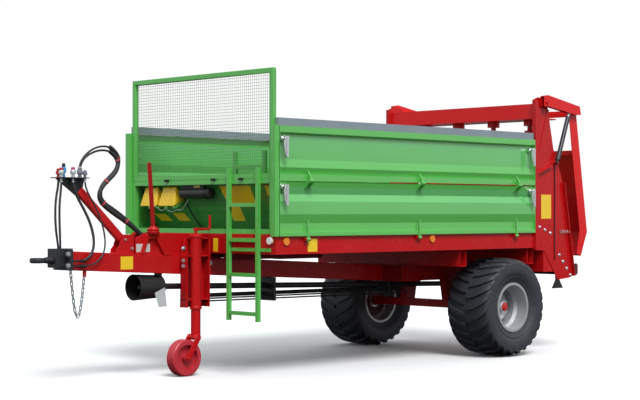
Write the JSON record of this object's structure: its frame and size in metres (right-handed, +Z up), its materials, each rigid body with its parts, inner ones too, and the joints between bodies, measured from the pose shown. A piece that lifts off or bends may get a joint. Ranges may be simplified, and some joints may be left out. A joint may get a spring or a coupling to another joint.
{
  "type": "manure spreader",
  "caption": "Towed manure spreader on one axle: a platform with drop-down side boards and floor conveyor, standing beaters behind, a lifting rear hood, a drawbar and a wheeled jack.",
  "frame": {"origin": "on the ground, under the middle of the machine's length and width", "axes": "+X forward to the tractor, +Y to the machine's left, +Z up"},
  "size_m": [6.0249, 2.2022, 2.543],
  "materials": {
    "green_paint": "glossy enamel over folded sheet",
    "panel_green": "glossy enamel in shade green",
    "red_paint": "glossy enamel over welded steel",
    "tyre_rubber": "dull rubber with moulded lugs",
    "rim_silver": "silver enamel",
    "black_plastic": "moulded, slightly grained",
    "black_rubber": "dull moulded rubber",
    "grey_plank": "grey coated top plank",
    "yellow_plastic": "moulded yellow plastic",
    "lamp_orange": "ribbed lens",
    "steel": "bare rolled steel",
    "zinc": "zinc plated",
    "coupler_metal": "turned steel couplings with coloured sleeves"
  },
  "bodies": {
    "chassis": {"axle": "red_paint", "bolsters": "red_paint", "chassis_beams": "red_paint", "chocks": "yellow_plastic", "conveyor": "steel", "couplers": "coupler_metal", "cross_members": "red_paint", "document_tube": "black_plastic", "drawbar": "red_paint", "drive_line": "steel", "floor_plate": "steel", "front_beam": "red_paint", "front_frame": "green_paint", "front_panel": "panel_green", "gear_beam": "red_paint", "hand_brake": "red_paint", "hose_front_inner": "black_rubber", "hose_front_outer": "black_rubber", "hose_loop_inner": "black_rubber", "hose_loop_outer": "black_rubber", "hose_side_inner": "black_rubber", "hose_side_outer": "black_rubber", "hose_stand": "red_paint", "jack": "red_paint", "ladder": "green_paint", "lamps": "lamp_orange", "light_bar": "red_paint", "mesh_guard": "green_paint", "pipe_run": "zinc", "pto_guard": "black_plastic", "rubber_flaps": "black_rubber", "safety_chain": "zinc", "side_rails": "red_paint", "spreader_wall_left": "red_paint", "spreader_wall_right": "red_paint", "top_beam": "red_paint", "towing_eye": "black_plastic"},
    "wheel_left": {"tyre_left": "tyre_rubber", "rim_left": "rim_silver"},
    "wheel_right": {"tyre_right": "tyre_rubber", "rim_right": "rim_silver"},
    "jack_wheel": {"jack_wheel": "red_paint"},
    "lower_board_left": {"lower_board_left": "green_paint"},
    "lower_board_right": {"lower_board_right": "green_paint"},
    "upper_board_left": {"upper_board_left": "green_paint", "plank_left": "grey_plank"},
    "upper_board_right": {"upper_board_right": "green_paint", "plank_right": "grey_plank"},
    "hood": {"hood": "red_paint"},
    "cylinder_barrel_left": {"cylinder_barrel_left": "zinc"},
    "cylinder_barrel_right": {"cylinder_barrel_right": "zinc"},
    "cylinder_rod_left": {"cylinder_rod_left": "zinc"},
    "cylinder_rod_right": {"cylinder_rod_right": "zinc"},
    "beater_1": {"beater_1": "red_paint"},
    "beater_2": {"beater_2": "red_paint"},
    "beater_3": {"beater_3": "red_paint"},
    "beater_4": {"beater_4": "red_paint"}
  },
  "joints": [
    {"name": "wheel_left_spin", "type": "hinge", "parent": "chassis", "child": "wheel_left", "pos_m": [-1.6735, 0.8515, 0.466], "axis": [0, 1, 0], "continuous": true},
    {"name": "wheel_right_spin", "type": "hinge", "parent": "chassis", "child": "wheel_right", "pos_m": [-1.6735, -0.8515, 0.466], "axis": [0, 1, 0], "continuous": true},
    {"name": "jack_wheel_spin", "type": "hinge", "parent": "chassis", "child": "jack_wheel", "pos_m": [1.6165, 0.17, 0.1525], "axis": [0, 1, 0], "continuous": true},
    {"name": "lower_board_left_hinge", "type": "hinge", "parent": "chassis", "child": "lower_board_left", "pos_m": [-0.4175, 0.985, 1.14], "axis": [-1, 0, 0], "range_deg": [0, 90]},
    {"name": "upper_board_left_hinge", "type": "hinge", "parent": "lower_board_left", "child": "upper_board_left", "pos_m": [-0.4175, 1.026, 1.6218], "axis": [-1, 0, 0], "range_deg": [0, 130]},
    {"name": "lower_board_right_hinge", "type": "hinge", "parent": "chassis", "child": "lower_board_right", "pos_m": [-0.4175, -0.985, 1.14], "axis": [1, 0, 0], "range_deg": [0, 90]},
    {"name": "upper_board_right_hinge", "type": "hinge", "parent": "lower_board_right", "child": "upper_board_right", "pos_m": [-0.4175, -1.026, 1.6218], "axis": [1, 0, 0], "range_deg": [0, 130]},
    {"name": "hood_pivot", "type": "hinge", "parent": "chassis", "child": "hood", "pos_m": [-2.2755, 0, 2.436], "axis": [0, 1, 0], "range_deg": [0, 60]},
    {"name": "cylinder_left_foot", "type": "hinge", "parent": "chassis", "child": "cylinder_barrel_left", "pos_m": [-2.4705, 0.987, 1.853], "axis": [0, 1, 0], "range_deg": [0, 20]},
    {"name": "cylinder_left_stroke", "type": "slide", "parent": "cylinder_barrel_left", "child": "cylinder_rod_left", "axis": [-0.372, 0, 0.9282], "range_m": [0, 0.36]},
    {"name": "cylinder_right_foot", "type": "hinge", "parent": "chassis", "child": "cylinder_barrel_right", "pos_m": [-2.4705, -0.987, 1.853], "axis": [0, 1, 0], "range_deg": [0, 20]},
    {"name": "cylinder_right_stroke", "type": "slide", "parent": "cylinder_barrel_right", "child": "cylinder_rod_right", "axis": [-0.372, 0, 0.9282], "range_m": [0, 0.36]},
    {"name": "beater_1_spin", "type": "hinge", "parent": "chassis", "child": "beater_1", "pos_m": [-2.4235, -0.69, 1.6], "axis": [0, 0, 1], "continuous": true},
    {"name": "beater_2_spin", "type": "hinge", "parent": "chassis", "child": "beater_2", "pos_m": [-2.4235, -0.23, 1.6], "axis": [0, 0, 1], "continuous": true},
    {"name": "beater_3_spin", "type": "hinge", "parent": "chassis", "child": "beater_3", "pos_m": [-2.4235, 0.23, 1.6], "axis": [0, 0, 1], "continuous": true},
    {"name": "beater_4_spin", "type": "hinge", "parent": "chassis", "child": "beater_4", "pos_m": [-2.4235, 0.69, 1.6], "axis": [0, 0, 1], "continuous": true}
  ],
  "couplings": [
    {"joint": "cylinder_left_foot", "follows": "hood_pivot", "ratio": 0.28678},
    {"joint": "cylinder_left_stroke", "follows": "hood_pivot", "m_per_rad": 0.3316},
    {"joint": "cylinder_right_foot", "follows": "hood_pivot", "ratio": 0.28678},
    {"joint": "cylinder_right_stroke", "follows": "hood_pivot", "m_per_rad": 0.3316},
    {"joint": "beater_1_spin", "follows": "beater_2_spin", "ratio": -1},
    {"joint": "beater_3_spin", "follows": "beater_2_spin", "ratio": -1},
    {"joint": "beater_4_spin", "follows": "beater_2_spin", "ratio": 1}
  ]
}
